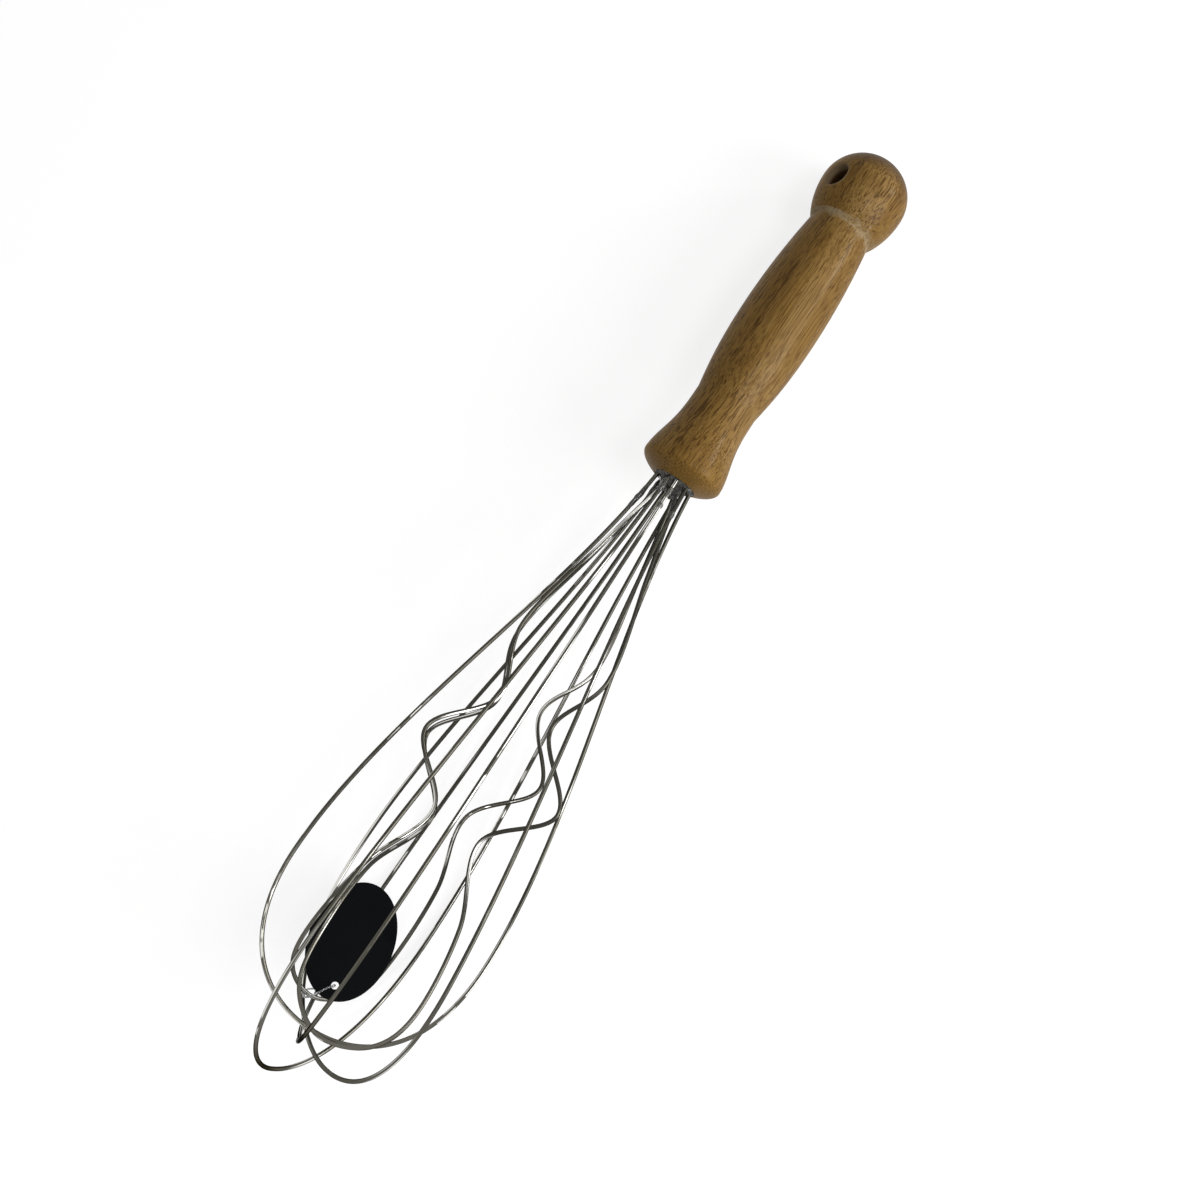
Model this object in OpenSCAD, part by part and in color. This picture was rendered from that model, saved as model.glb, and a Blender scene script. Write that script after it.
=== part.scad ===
// Balloon whisk with a turned wooden handle, lying on a table.
// Millimetres. The origin is the middle of the hanging hole in the handle's ball. +Z is up,
// and the whisk points along +X, raised a little because the wires are fuller than the ball.

/* [Handle] */
// Length of the wooden handle, from the end of its ball to its mouth
handle_len = 134; // [120:1:150]
// Diameter of the ball at the end of the handle
ball_d = 31; // [28:0.5:34]
// Length of the ball's rounded end, from its fullest part
ball_end_len = 14.5; // [13:0.5:16]
// Diameter of the hole through the ball that the whisk hangs by
hang_hole_d = 8.6; // [5:0.2:11]
// Distance of the hanging hole from the end of the ball
hang_hole_from_end = 17; // [14:0.5:19]
// Turn of the hanging hole about the whisk's length, from lying flat
hang_hole_turn = 131; // [100:1:160]
// Diameter at the bottom of the groove that sets the ball off
neck_d = 22.3; // [20:0.1:25]
// Distance of the groove from the mouth
neck_from_mouth = 104.3; // [98:0.1:107]
// Largest diameter of the grip
grip_d = 27.7; // [25:0.1:31]
// Distance of the fullest part of the grip from the mouth
grip_from_mouth = 66; // [58:1:75]
// Diameter of the waist in front of the grip
waist_d = 22.2; // [20:0.1:24]
// Distance of the waist from the mouth
waist_from_mouth = 32.5; // [28:0.5:37]
// Diameter of the flared foot
foot_d = 29.1; // [26:0.1:32]
// Distance of the widest part of the foot from the mouth
foot_from_mouth = 5.2; // [4:0.1:8]

/* [Wire socket] */
// Diameter of the bore in the foot that takes the wires
socket_d = 15; // [14.8:0.1:16]
// Depth of that bore
socket_depth = 42; // [34:1:50]
// Width of the flat rim left round the mouth of the bore
rim_w = 0.4; // [0.3:0.1:1.5]
// How far the resin's face lies inside the mouth
resin_recess = 0.8; // [0.5:0.1:1.2]
// How deep the wire ends are set in the resin
wire_seat_depth = 30; // [20:1:32]
// Radius of the ring of plain wire ends
plain_ring_r = 6.3; // [6.1:0.05:6.45]
// Radius of the ring of wavy wire ends
wavy_ring_r = 2.7; // [2.5:0.05:3]

/* [Wires] */
// Diameter of every wire
wire_d = 1.4; // [1.1:0.05:1.6]
// Largest diameter across the balloon, between wire centres
belly_d = 70; // [60:1:80]
// Reach of the first plain loop past the mouth
loop_1_reach = 206.5; // [204:0.5:207.5]
// Reach of the second plain loop past the mouth
loop_2_reach = 210.5; // [210:0.5:212]
// Reach of the third plain loop past the mouth
loop_3_reach = 214.5; // [214:0.5:216]
// Reach of the fourth plain loop past the mouth
loop_4_reach = 222; // [219:0.5:226]
// Reach of the first wavy loop past the mouth
wave_1_reach = 200.5; // [196:0.5:202]
// Reach of the second wavy loop past the mouth
wave_2_reach = 204; // [203:0.5:204.5]

/* [Hang tag] */
// Length of the oval tag
tag_len = 40.5; // [36:0.5:41]
// Width of the oval tag
tag_w = 27.8; // [22:0.2:28]
// Thickness of the tag
tag_t = 0.6; // [0.4:0.05:1]
// Diameter of the eyelet hole in the tag
tag_hole_d = 2.5; // [2:0.1:3]
// Distance from the middle of the hole to the tag's end
tag_hole_inset = 4.9; // [4:0.1:6]
// Thickness of the clear loop that holds the tag
tag_loop_d = 0.6; // [0.4:0.05:0.8]

/* [Hidden] */

// Smoothness of round parts, and the counts of rings and sides of a wire
round_fn = 96;
small_fn = 32;
wire_sides = 8;
plain_rings = 44;
wave_rings_per_span = 6;
// One overrun for all cuts, and the fit between a bore and what sits in it
cut_over = 1;
fit_gap = 0.05;
wood = "#a8794a";
resin = "#c9c2a8";
steel = "#c4c2bc";
card = "#151515";
nylon = "#d8dcdc";

// Handle, measured back from its mouth
ball_r = ball_d / 2;
neck_r = neck_d / 2;
grip_r = grip_d / 2;
waist_r = waist_d / 2;
foot_r = foot_d / 2;
socket_r = socket_d / 2;
ball_from_mouth = handle_len - ball_end_len;
hole_from_mouth = handle_len - hang_hole_from_end;
rim_r = socket_r + rim_w;
// Half length of the ball's front half, an ellipse that reaches the groove at the neck's radius
ball_front_len = (ball_from_mouth - neck_from_mouth) / sqrt(1 - pow(neck_r / ball_r, 2));
// How late the foot flares, and how early the grip swells, between the stations
foot_flare_share = 1.6;
grip_swell_share = 0.54;
outline_steps = 14;

// Each loop's two strand angles about the whisk's length: 0 lies to +Y, 90 is up
loop_1_angles = [160, -12];
loop_2_angles = [78, 250];
loop_3_angles = [219, 37];
loop_4_angles = [104, 288];
wave_1_angles = [134, 302];
wave_2_angles = [203, 8];
// How full each plain strand's belly is, as shares of the belly's radius
loop_1_fullness_shares = [1.02, 0.98];
loop_2_fullness_shares = [1, 1];
loop_3_fullness_shares = [0.98, 1];
loop_4_fullness_shares = [1, 1];
// How far each loop's tip lies to +Y and up from the whisk's length, as shares of the belly's radius
loop_1_tip_shares = [0, 0];
loop_2_tip_shares = [-0.06, 0];
loop_3_tip_shares = [0.22, -0.14];
loop_4_tip_shares = [-0.09, 0.02];
wave_1_tip_shares = [-0.2, -0.28];
wave_2_tip_shares = [0.12, 0.32];
// How sharply a tip's offset fades back along the strand
tip_fade = 5;

// Plain strand: where the belly lies, and the lengths of the curve's handles, as shares
belly_r = belly_d / 2;
belly_share = 0.79;
spread_slope_share = 0.087;
first_handle_share = 0.33;
belly_back_share = 0.3;
belly_front_share = 0.75;
tip_handle_share = 0.45;
// Wavy strands: reach of each bend as shares of the loop's reach, and how far a strand's bends lead
wave_reach_shares = [0.16, 0.335, 0.45, 0.552, 0.65, 0.77, 0.9, 0.97];
wave_1_lead_shares = [0, 0.016];
wave_2_lead_shares = [0, 0.008];
// Radius of each bend of the two strands, as shares of the belly's radius
wave_1_radius_shares = [[0.31, 0.54, 0.31, 0.77, 0.21, 0.47, 0.54, 0.4],
                        [0.33, 0.55, 0.22, 0.82, 0.17, 0.42, 0.51, 0.42]];
wave_2_radius_shares = [[0.31, 0.54, 0.31, 0.76, 0.2, 0.49, 0.54, 0.42],
                        [0.29, 0.52, 0.32, 0.8, 0.33, 0.6, 0.66, 0.46]];

// Attitude: two far strands and the ball carry the whisk on the table
wire_r = wire_d / 2;
belly_drop = -belly_r * sin(loop_2_angles[1]) + wire_r;
belly_from_ball = ball_from_mouth + belly_share * (loop_2_reach + loop_4_reach) / 2;
rest_tilt = asin((belly_drop - ball_r) / belly_from_ball);

// Tag: how far its hole lies past the mouth, to +Y and below the whisk's length,
// and how it is turned to the side, tipped up at its hole and rolled
tag_from_mouth = 194.1;
tag_aside = -3.7;
tag_below = 10.5;
tag_turn = 20;
tag_tip = 25;
tag_roll = -11.5;
// The clear loop's reach from the hole to the wire, its heading across the tag, and its route
// as shares of that reach: along the heading, across it and out of the tag's face
tag_loop_reach = 8.7;
tag_loop_heading = -56;
tag_loop_route_shares = [[0, 0, 0], [0.06, 0.01, 0.12], [0.34, 0.06, 0.17], [0.69, 0.13, 0.14],
                         [1, 0.16, 0.09], [1.16, 0.04, -0.08], [1, -0.16, -0.09],
                         [0.69, -0.13, -0.14], [0.34, -0.06, -0.17], [0.06, -0.01, -0.12]];
tag_loop_rings_per_span = 4;

function ease(t) = (1 - cos(180 * t)) / 2;
function mix(a, b, t) = a + (b - a) * t;
function unit(v) = v / norm(v);

function bezier(a, b, c, d, t) =
    pow(1 - t, 3) * a + 3 * t * pow(1 - t, 2) * b + 3 * t * t * (1 - t) * c + pow(t, 3) * d;

function catmull(a, b, c, d, t) =
    (2 * b + (c - a) * t + (2 * a - 5 * b + 4 * c - d) * t * t + (3 * b - a - 3 * c + d) * t * t * t) / 2;

// Point at a reach, radius and angle about the whisk's length, with its share of the tip's offset
function strand_point(reach, radius, angle, full_reach, tip_shares) =
    let (fade = belly_r * pow(max(0, reach) / full_reach, tip_fade))
    [reach, radius * cos(angle) + tip_shares[0] * fade, radius * sin(angle) + tip_shares[1] * fade];

// Reach and radius along a plain strand: t runs from 0 at the mouth through 1 at the belly to 2 at the tip
function plain_profile(reach, full_r, t) =
    let (belly_reach = belly_share * reach,
         handle = first_handle_share * belly_reach,
         nose = reach - belly_reach)
    t < 1
    ? bezier([0, plain_ring_r],
             [handle, plain_ring_r + spread_slope_share * handle],
             [belly_reach * (1 - belly_back_share), full_r],
             [belly_reach, full_r], t)
    : bezier([belly_reach, full_r],
             [belly_reach + belly_front_share * nose, full_r],
             [reach, tip_handle_share * full_r],
             [reach, 0], t - 1);

function plain_strand(reach, angle, full_r, tip_shares) =
    [for (i = [0 : plain_rings - 1])
        let (point = plain_profile(reach, full_r, 2 * i / plain_rings))
        strand_point(point[0], point[1], angle, reach, tip_shares)];

// End of a wire, straight down into the resin
function wire_end(ring_r, angle) =
    [-wire_seat_depth, ring_r * cos(angle), ring_r * sin(angle)];

function reversed(list) = [for (i = [len(list) - 1 : -1 : 0]) list[i]];

function loop_tip(reach, tip_shares) = strand_point(reach, 0, 0, reach, tip_shares);

function plain_path(reach, angles, fullness_shares, tip_shares) =
    concat([wire_end(plain_ring_r, angles[0])],
           plain_strand(reach, angles[0], fullness_shares[0] * belly_r, tip_shares),
           [loop_tip(reach, tip_shares)],
           reversed(plain_strand(reach, angles[1], fullness_shares[1] * belly_r, tip_shares)),
           [wire_end(plain_ring_r, angles[1])]);

// Bends of a wavy strand, from the mouth to just before the tip. The lead is greatest half way
function wave_bends(reach, angle, lead_share, radius_shares, tip_shares) =
    concat([[0, wavy_ring_r * cos(angle), wavy_ring_r * sin(angle)]],
           [for (i = [0 : len(wave_reach_shares) - 1])
               let (bend_share = wave_reach_shares[i] - lead_share * sin(180 * wave_reach_shares[i]))
               strand_point(bend_share * reach, radius_shares[i] * belly_r, angle, reach, tip_shares)]);

function smoothed(points) =
    let (last = len(points) - 1)
    concat([for (i = [0 : last - 1], k = [0 : wave_rings_per_span - 1])
               catmull(i == 0 ? 2 * points[0] - points[1] : points[i - 1], points[i], points[i + 1],
                       i == last - 1 ? 2 * points[last] - points[last - 1] : points[i + 2],
                       k / wave_rings_per_span)],
           [points[last]]);

function wavy_path(reach, angles, lead_shares, radius_shares, tip_shares) =
    concat([wire_end(wavy_ring_r, angles[0])],
           smoothed(concat(wave_bends(reach, angles[0], lead_shares[0], radius_shares[0], tip_shares),
                           [loop_tip(reach, tip_shares)],
                           reversed(wave_bends(reach, angles[1], lead_shares[1], radius_shares[1],
                                               tip_shares)))),
           [wire_end(wavy_ring_r, angles[1])]);

// Direction of a path at one of its points
function path_direction(path, i) =
    let (last = len(path) - 1)
    i == 0 ? unit(path[1] - path[0])
    : i == last ? unit(path[last] - path[last - 1])
    : unit(unit(path[i + 1] - path[i]) + unit(path[i] - path[i - 1]));

// Closed round tube along a path that stays off the direction named flat
module wire(path, flat) {
    count = len(path);
    rings = [for (i = [0 : count - 1])
        let (along = path_direction(path, i),
             side = unit(cross(along, flat)),
             up = cross(side, along))
        for (k = [0 : wire_sides - 1])
            let (a = 360 * k / wire_sides)
            path[i] + wire_r * (cos(a) * side + sin(a) * up)];
    walls = [for (i = [0 : count - 2], k = [0 : wire_sides - 1])
        let (a = i * wire_sides + k,
             b = i * wire_sides + (k + 1) % wire_sides)
        each [[a, a + wire_sides, b], [b, a + wire_sides, b + wire_sides]]];
    first_end = [for (k = [0 : wire_sides - 1]) k];
    last_end = [for (k = [wire_sides - 1 : -1 : 0]) (count - 1) * wire_sides + k];
    polyhedron(points = rings, faces = concat([first_end], walls, [last_end]));
}

// Direction square to a loop's two strands
function loop_flat(angles) =
    let (middle = (angles[0] + angles[1]) / 2)
    [0, cos(middle), sin(middle)];

// Moves a piece drawn from the mouth along +X into the whisk's place on the table
module laid() {
    rotate([0, -rest_tilt, 0])
        translate([hole_from_mouth, 0, 0])
            children();
}

// Turns a shape drawn along +Z so that it runs along +X
module along_x() {
    rotate([0, 90, 0])
        children();
}

// Outline of the handle as [distance back from the mouth, radius] stations
function foot_nose() = [for (i = [0 : outline_steps])
    let (t = i / outline_steps)
    [foot_from_mouth * (1 - t), mix(foot_r, rim_r, t * t)]];

function flare() = [for (i = [1 : outline_steps])
    let (t = i / outline_steps)
    [mix(waist_from_mouth, foot_from_mouth, t), mix(waist_r, foot_r, ease(pow(t, foot_flare_share)))]];

function swell() = [for (i = [1 : outline_steps])
    let (t = i / outline_steps)
    [mix(waist_from_mouth, grip_from_mouth, t), mix(waist_r, grip_r, ease(pow(t, grip_swell_share)))]];

function grip_back() = [for (i = [1 : outline_steps])
    let (t = i / outline_steps)
    [mix(grip_from_mouth, neck_from_mouth, t), mix(grip_r, neck_r, t * t)]];

function ball_front() = [for (i = [1 : outline_steps])
    let (x = mix(neck_from_mouth, ball_from_mouth, i / outline_steps))
    [x, ball_r * sqrt(1 - pow((ball_from_mouth - x) / ball_front_len, 2))]];

function ball_back() = [for (i = [1 : outline_steps])
    let (a = 90 * i / outline_steps)
    [ball_from_mouth + ball_end_len * sin(a), ball_r * cos(a)]];

function handle_outline() =
    concat([[0, 0], [0, rim_r]],
           [for (i = [outline_steps - 1 : -1 : 0]) foot_nose()[i]],
           [for (i = [outline_steps - 1 : -1 : 1]) flare()[i - 1]],
           [[waist_from_mouth, waist_r]],
           swell(), grip_back(), ball_front(), ball_back());

// Turned wooden handle with its wire socket and its hanging hole
module handle() {
    color(wood)
        laid()
            difference() {
                along_x()
                    rotate_extrude($fn = round_fn)
                        polygon([for (station = handle_outline()) [station[1], -station[0]]]);
                translate([-socket_depth, 0, 0])
                    along_x()
                        cylinder(h = socket_depth + cut_over, d = socket_d, $fn = round_fn);
                translate([-hole_from_mouth, 0, 0])
                    rotate([hang_hole_turn - 90, 0, 0])
                        cylinder(h = ball_d + 2 * cut_over, d = hang_hole_d, center = true, $fn = round_fn);
            }
}

// Clear resin that fills the socket and holds the twelve wire ends
module potting_resin() {
    plain_ends = concat(loop_1_angles, loop_2_angles, loop_3_angles, loop_4_angles);
    wavy_ends = concat(wave_1_angles, wave_2_angles);
    color(resin)
        laid()
            difference() {
                translate([fit_gap - socket_depth, 0, 0])
                    along_x()
                        cylinder(h = socket_depth - resin_recess - fit_gap, r = socket_r - fit_gap,
                                 $fn = round_fn);
                for (angle = plain_ends)
                    wire_hole(plain_ring_r, angle);
                for (angle = wavy_ends)
                    wire_hole(wavy_ring_r, angle);
            }
}

module wire_hole(ring_r, angle) {
    translate([-wire_seat_depth - fit_gap, ring_r * cos(angle), ring_r * sin(angle)])
        along_x()
            cylinder(h = wire_seat_depth, r = wire_r + fit_gap, $fn = small_fn);
}

module plain_loop(reach, angles, fullness_shares, tip_shares) {
    color(steel)
        laid()
            wire(plain_path(reach, angles, fullness_shares, tip_shares), loop_flat(angles));
}

module wavy_loop(reach, angles, lead_shares, radius_shares, tip_shares) {
    color(steel)
        laid()
            wire(wavy_path(reach, angles, lead_shares, radius_shares, tip_shares), loop_flat(angles));
}

module plain_loop_1() {
    plain_loop(loop_1_reach, loop_1_angles, loop_1_fullness_shares, loop_1_tip_shares);
}

module plain_loop_2() {
    plain_loop(loop_2_reach, loop_2_angles, loop_2_fullness_shares, loop_2_tip_shares);
}

module plain_loop_3() {
    plain_loop(loop_3_reach, loop_3_angles, loop_3_fullness_shares, loop_3_tip_shares);
}

module plain_loop_4() {
    plain_loop(loop_4_reach, loop_4_angles, loop_4_fullness_shares, loop_4_tip_shares);
}

module wavy_loop_1() {
    wavy_loop(wave_1_reach, wave_1_angles, wave_1_lead_shares, wave_1_radius_shares, wave_1_tip_shares);
}

module wavy_loop_2() {
    wavy_loop(wave_2_reach, wave_2_angles, wave_2_lead_shares, wave_2_radius_shares, wave_2_tip_shares);
}

// Plain black oval tag with its eyelet hole
module hang_tag() {
    color(card)
        laid()
            tag_place()
                difference() {
                    translate([tag_hole_inset - tag_len / 2, 0, -tag_t / 2])
                        linear_extrude(tag_t)
                            scale([tag_len / tag_w, 1])
                                circle(d = tag_w, $fn = round_fn);
                    cylinder(h = tag_t + 2 * cut_over, d = tag_hole_d, center = true, $fn = small_fn);
                }
}

// Moves a piece drawn about the tag's hole, with the hole's end to +X, into the tag's place
module tag_place() {
    translate([tag_from_mouth, tag_aside, -tag_below])
        rotate([tag_roll, -tag_tip, tag_turn])
            children();
}

// Clear loop that ties the tag to the first wavy wire near its tip
module tag_loop() {
    color(nylon)
        laid()
            tag_place()
                rotate([0, 0, tag_loop_heading])
                    closed_cord(tag_loop_reach * tag_loop_route_shares, tag_loop_d / 2);
}

// Round cord through points, with its end joined to its start
module closed_cord(points, cord_r) {
    count = len(points);
    path = [for (i = [0 : count - 1], k = [0 : tag_loop_rings_per_span - 1])
        catmull(points[(i + count - 1) % count], points[i], points[(i + 1) % count],
                points[(i + 2) % count], k / tag_loop_rings_per_span)];
    last = len(path);
    rings = [for (i = [0 : last - 1])
        let (along = unit(path[(i + 1) % last] - path[(i + last - 1) % last]),
             side = unit(cross(along, [0, 1, 0])),
             up = cross(side, along))
        for (k = [0 : wire_sides - 1])
            let (a = 360 * k / wire_sides)
            path[i] + cord_r * (cos(a) * side + sin(a) * up)];
    walls = [for (i = [0 : last - 1], k = [0 : wire_sides - 1])
        let (a = i * wire_sides + k,
             b = i * wire_sides + (k + 1) % wire_sides,
             c = ((i + 1) % last) * wire_sides + k,
             d = ((i + 1) % last) * wire_sides + (k + 1) % wire_sides)
        each [[a, c, b], [b, c, d]]];
    polyhedron(points = rings, faces = walls);
}

handle();
potting_resin();
plain_loop_1();
plain_loop_2();
plain_loop_3();
plain_loop_4();
wavy_loop_1();
wavy_loop_2();
hang_tag();
tag_loop();
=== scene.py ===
"""Looks of the balloon whisk: turned wooden handle, clear resin, nested wire loops and a black tag.

Lengths are in millimetres and angles in degrees, until MM and math.radians turn them into the
model's metres and radians. Each piece is drawn in the whisk's own frame, in which the mouth of
the handle is at zero, the wires run along +X and the handle along -X. Its mesh is then laid on
the table as the solids lie. Only the floor, the lamps, the camera's clipping and the depths of
the materials' relief are given in metres.
"""
import math

import bmesh
import bpy
import numpy as np
from mathutils import Matrix, Vector, noise


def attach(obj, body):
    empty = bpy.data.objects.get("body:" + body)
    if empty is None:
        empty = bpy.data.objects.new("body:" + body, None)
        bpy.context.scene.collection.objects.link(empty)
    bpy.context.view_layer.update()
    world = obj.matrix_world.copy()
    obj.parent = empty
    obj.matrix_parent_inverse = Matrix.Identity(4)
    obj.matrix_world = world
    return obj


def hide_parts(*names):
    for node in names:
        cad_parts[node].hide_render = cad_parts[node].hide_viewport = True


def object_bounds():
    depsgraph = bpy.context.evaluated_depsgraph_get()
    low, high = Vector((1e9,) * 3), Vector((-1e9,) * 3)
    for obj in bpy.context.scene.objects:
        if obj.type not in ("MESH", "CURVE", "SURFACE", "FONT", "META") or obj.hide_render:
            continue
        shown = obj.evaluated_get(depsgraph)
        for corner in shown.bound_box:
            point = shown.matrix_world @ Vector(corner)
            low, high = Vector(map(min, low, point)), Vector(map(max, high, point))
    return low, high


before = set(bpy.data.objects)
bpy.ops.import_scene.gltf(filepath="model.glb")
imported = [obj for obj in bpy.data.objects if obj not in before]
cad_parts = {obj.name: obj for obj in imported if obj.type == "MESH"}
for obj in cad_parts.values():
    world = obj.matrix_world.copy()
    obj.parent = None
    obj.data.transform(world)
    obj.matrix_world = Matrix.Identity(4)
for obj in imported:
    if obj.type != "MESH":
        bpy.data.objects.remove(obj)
cad_low, cad_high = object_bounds()
bpy.context.scene.view_settings.view_transform = "Standard"

MM = 0.001

# A station nearer the axis than this is on it, and a path whose direction is nearer the vertical
# than this, as the sine of the angle, takes its side from Y
ON_AXIS = 1e-6
NEAR_VERTICAL = 0.2

# Handle, as in the solids: places from the mouth, widths, and the bends of its profile
HANDLE_LEN = 134.0
BALL_D = 31.0
BALL_END = 14.5
HOLE_D = 8.6
HOLE_FROM_END = 17.0
HOLE_TURN = 131.0
NECK_D = 22.3
NECK_AT = 104.3
GRIP_D = 27.7
GRIP_AT = 66.0
WAIST_D = 22.2
WAIST_AT = 32.5
FOOT_D = 29.1
FOOT_AT = 5.2
SOCKET_D = 15.0
SOCKET_DEPTH = 42.0
RIM_W = 0.4
RESIN_RECESS = 0.8
SEAT_DEPTH = 30.0
BALL_AT = HANDLE_LEN - BALL_END
HOLE_AT = HANDLE_LEN - HOLE_FROM_END
FLARE_SHARE = 1.6
SWELL_SHARE = 0.54

# Handle's mesh: steps along each part of the profile, sides, and the rounding of its edges
PROFILE_STEPS = 34
HANDLE_SIDES = 144
HANDLE_SHARP = 38.0
LIP_R = 0.3
LIP_STEPS = 6
HOLE_SIDES = 72
HOLE_EASE_R = 0.9
HOLE_EASE_SUNK = 0.35
HOLE_EASE_BACK = 0.4
HOLE_EASE_POWER = 1.6
HOLE_EASE_WIDEST = 3
HOLE_EASE_STEPS = 8

# Wires, as in the solids
WIRE_D = 1.4
BELLY_R = 35.0
PLAIN_RING_R = 6.3
WAVY_RING_R = 2.7
BELLY_SHARE = 0.79
SPREAD_SLOPE = 0.087
FIRST_HANDLE = 0.33
BELLY_BACK = 0.3
BELLY_FRONT = 0.75
TIP_HANDLE = 0.45
TIP_FADE = 5.0
# Each loop's reach past the mouth, the angles of its two strands about the axis, the strands'
# shares of the belly's radius, and how far aside its tip stands, as shares of that radius
PLAIN = {
    1: dict(reach=206.5, angles=(160, -12), full=(1.02, 0.98), tip=(0.0, 0.0)),
    2: dict(reach=210.5, angles=(78, 250), full=(1.0, 1.0), tip=(-0.06, 0.0)),
    3: dict(reach=214.5, angles=(219, 37), full=(0.98, 1.0), tip=(0.22, -0.14)),
    4: dict(reach=222.0, angles=(104, 288), full=(1.0, 1.0), tip=(-0.09, 0.02)),
}
# Where the bends of the wavy loops are, as shares of the reach, how far each strand's bends lead
# those, and each bend's share of the belly's radius
WAVE_REACH = (0.16, 0.335, 0.45, 0.552, 0.65, 0.77, 0.9, 0.97)
WAVY = {
    1: dict(reach=200.5, angles=(134, 302), lead=(0.0, 0.016), tip=(-0.2, -0.28),
            radii=((0.31, 0.54, 0.31, 0.77, 0.21, 0.47, 0.54, 0.4),
                   (0.33, 0.55, 0.22, 0.82, 0.17, 0.42, 0.51, 0.42))),
    2: dict(reach=204.0, angles=(203, 8), lead=(0.0, 0.008), tip=(0.12, 0.32),
            radii=((0.31, 0.54, 0.31, 0.76, 0.2, 0.49, 0.54, 0.42),
                   (0.29, 0.52, 0.32, 0.8, 0.33, 0.6, 0.66, 0.46))),
}

# Wires' mesh: steps along each strand of a plain loop and each bend of a wavy one, and sides
PLAIN_STEPS = 110
WAVY_STEPS = 18
WIRE_SIDES = 16
# Each wire's UV starts this far from the last, and the wavy wires' after the plain ones'
UV_APART = 611.0
WAVY_UV_AFTER = 4.5

# Resin's mesh, how high it creeps up the bore's wall and up each wire, and how far it reaches
RESIN_RINGS = 44
RESIN_SIDES = 128
RESIN_OFF_WALL = 0.04
RESIN_OFF_FLOOR = 0.1
WALL_CREEP, WALL_CREEP_REACH = 0.55, 0.5
WIRE_CREEP, WIRE_CREEP_REACH = 0.9, 0.55
WIRE_CREEP_MOST = 1.3
# Height and radius of the mound that it forms between the wires, and its ripples; the mound carries
# the resin's painted shade up between the wires
MOUND, MOUND_R = 4.2, 6.9
MOUND_RIPPLE = 0.5
RIPPLE = 0.18
RIPPLE_SCALE = 0.5
RIPPLE_AT = 3.0

# Drips of resin on the wires: kind of loop, its number, whether it is the far strand, where the
# drip starts and ends past the mouth, how far it swells, and the place of its lumps' noise
DROPS = (
    ("plain", 2, False, 3.2, 7.4, 0.26, 1.0),
    ("plain", 2, False, 9.6, 11.6, 0.24, 5.0),
    ("plain", 3, True, 9.5, 12.0, 0.24, 9.0),
    ("plain", 1, False, 5.5, 15.5, 0.26, 13.0),
    ("wavy", 1, False, 2.0, 5.5, 0.3, 17.0),
    ("plain", 3, False, 0.4, 8.0, 0.42, 21.0),
    ("wavy", 2, False, 0.6, 9.0, 0.42, 25.0),
    ("plain", 4, False, 0.4, 7.0, 0.4, 29.0),
    ("wavy", 2, True, 0.6, 8.5, 0.42, 33.0),
)
DROP_RINGS = 36
DROP_SIDES = 20
DROP_SUNK = 0.05
DROP_BLUNTNESS = 0.7
DROP_LUMP = 0.9
DROP_LUMP_ALONG = 0.5
DROP_LUMP_ROUND = 0.9

# Tag and its loop, as in the solids
TAG_LEN = 40.5
TAG_W = 27.8
TAG_T = 0.6
TAG_HOLE_D = 2.5
TAG_HOLE_INSET = 4.9
TAG_AT = (194.1, -3.7, -10.5)
TAG_TURN = 20.0
TAG_TIP = 25.0
TAG_ROLL = -11.5
LOOP_D = 0.6
LOOP_REACH = 8.7
LOOP_HEADING = -56.0
LOOP_ROUTE = ((0, 0, 0), (0.06, 0.01, 0.12), (0.34, 0.06, 0.17), (0.69, 0.13, 0.14),
              (1, 0.16, 0.09), (1.16, 0.04, -0.08), (1, -0.16, -0.09),
              (0.69, -0.13, -0.14), (0.34, -0.06, -0.17), (0.06, -0.01, -0.12))

# Tag's mesh: sides, steps from the hole to the rim, and the rounding of its edges
TAG_SIDES = 160
TAG_STEPS = 14
TAG_SHARP = 30.0
TAG_SOFT = 0.16
TAG_SOFT_SHARE = 0.3
LOOP_STEPS = 12
LOOP_SIDES = 12

# Attitude on the table
BELLY_DROP = -BELLY_R * math.sin(math.radians(PLAIN[2]["angles"][1])) + WIRE_D / 2
BELLY_FROM_BALL = BALL_AT + BELLY_SHARE * (PLAIN[2]["reach"] + PLAIN[4]["reach"]) / 2
REST_TILT = math.asin((BELLY_DROP - BALL_D / 2) / BELLY_FROM_BALL)
LAID = Matrix.Rotation(-REST_TILT, 4, "Y") @ Matrix.Translation((HOLE_AT * MM, 0, 0))

# Camera: the photograph's eye, set from how the handle and every wire project. The mouth's place
# is in pixels from the picture's middle, and the whisk's length runs along LENGTH_PX in it.
FOCAL_PX = 1300.0
PHOTO_PX = 1200.0
SENSOR = 36.0
CLIP_START, CLIP_END = 0.01, 20.0
EYE_HEIGHT = 428.0
EYE_PITCH = 8.0
EYE_ROLL = 10.0
EYE_YAW = 0.4
MOUTH_PX = (73.87, -116.98)
LENGTH_PX = (-0.5568, 0.8306)

# Colours of the wood
WOOD_PALE = (0.256, 0.154, 0.050)
WOOD_MIDDLE = (0.208, 0.117, 0.028)
WOOD_BROWN = (0.158, 0.083, 0.019)
WOOD_LINE = (0.104, 0.049, 0.008)
WOOD_WARM = (0.29, 0.158, 0.030)
WOOD_PORE = (0.062, 0.027, 0.003)
# Worn lacquer, also the colour of a painted highlight line in the groove
WOOD_WORN_AND_HIGHLIGHT = (0.315, 0.245, 0.145)
HOLE_LIP = (0.25, 0.18, 0.105)
# Painted shade deep inside the hanging hole
HOLE_PAINTED_SHADE = (0.075, 0.034, 0.013)

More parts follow.
